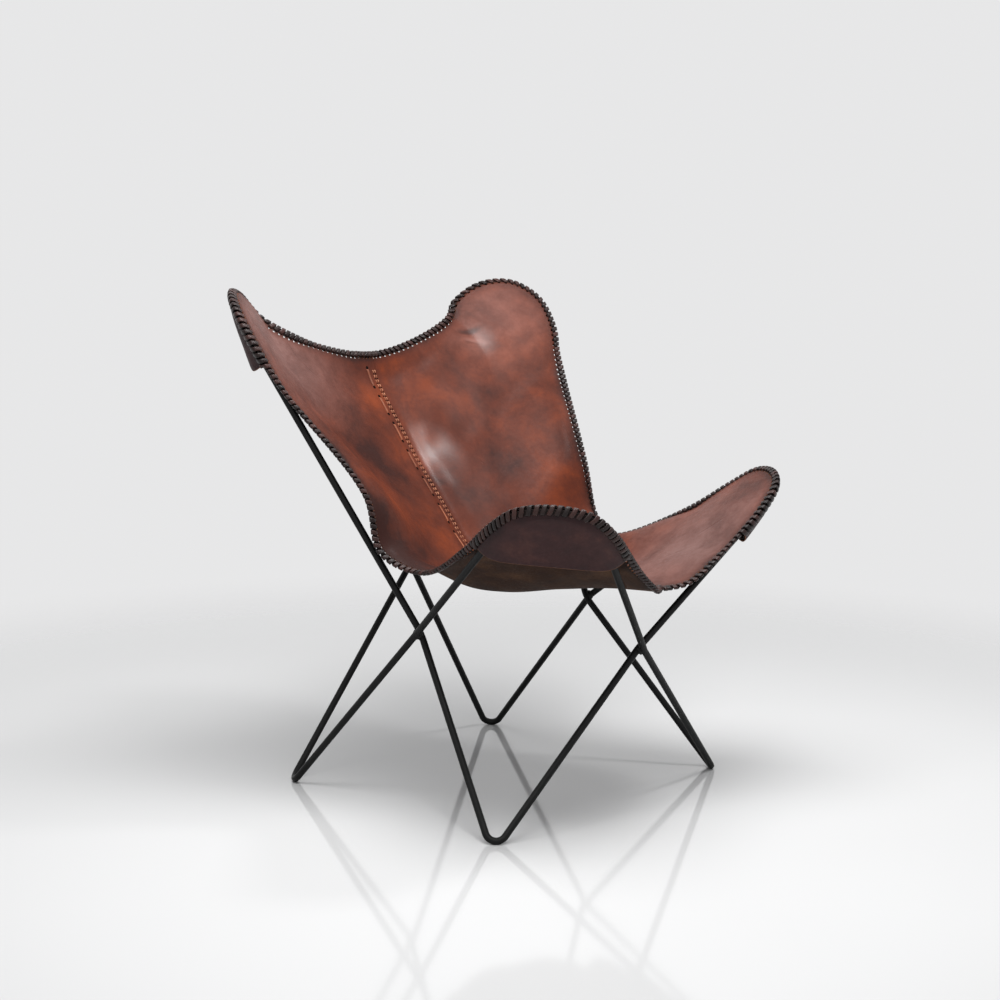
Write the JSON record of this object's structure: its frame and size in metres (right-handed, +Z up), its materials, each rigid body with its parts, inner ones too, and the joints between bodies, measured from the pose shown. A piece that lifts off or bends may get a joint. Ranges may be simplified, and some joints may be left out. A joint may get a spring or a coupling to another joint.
{
  "type": "butterfly sling chair",
  "caption": "Butterfly lounge chair: a brown leather sling with laced edges hangs by corner pockets on a black bent rod frame.",
  "frame": {"origin": "on the floor, under the middle of the chair's width and depth", "axes": "+Z up, -Y towards the front of the seat, +X to the right as seen from the front"},
  "size_m": [0.8172, 0.7898, 0.8913],
  "materials": {
    "frame_paint": "satin black",
    "sling_leather": "waxed, antiqued cognac brown",
    "pocket_leather": "dark brown, matt",
    "edge_lace": "very dark brown flat lace",
    "seam_lace": "tan flat lace"
  },
  "bodies": {
    "root": {"front_left_foot_rod": "frame_paint", "front_right_peak_rod": "frame_paint", "back_right_foot_rod": "frame_paint", "back_left_peak_rod": "frame_paint", "front_right_foot_rod": "frame_paint", "front_left_peak_rod": "frame_paint", "back_left_foot_rod": "frame_paint", "back_right_peak_rod": "frame_paint", "side_left_weld": "frame_paint", "side_right_weld": "frame_paint", "front_weld": "frame_paint", "back_weld": "frame_paint", "sling_left_panel": "sling_leather", "sling_right_panel": "sling_leather", "front_left_pocket": "pocket_leather", "back_left_pocket": "pocket_leather", "front_right_pocket": "pocket_leather", "back_right_pocket": "pocket_leather", "front_left_edge_lace": "edge_lace", "back_left_edge_lace": "edge_lace", "front_right_edge_lace": "edge_lace", "back_right_edge_lace": "edge_lace", "seam_lace": "seam_lace"}
  },
  "joints": []
}
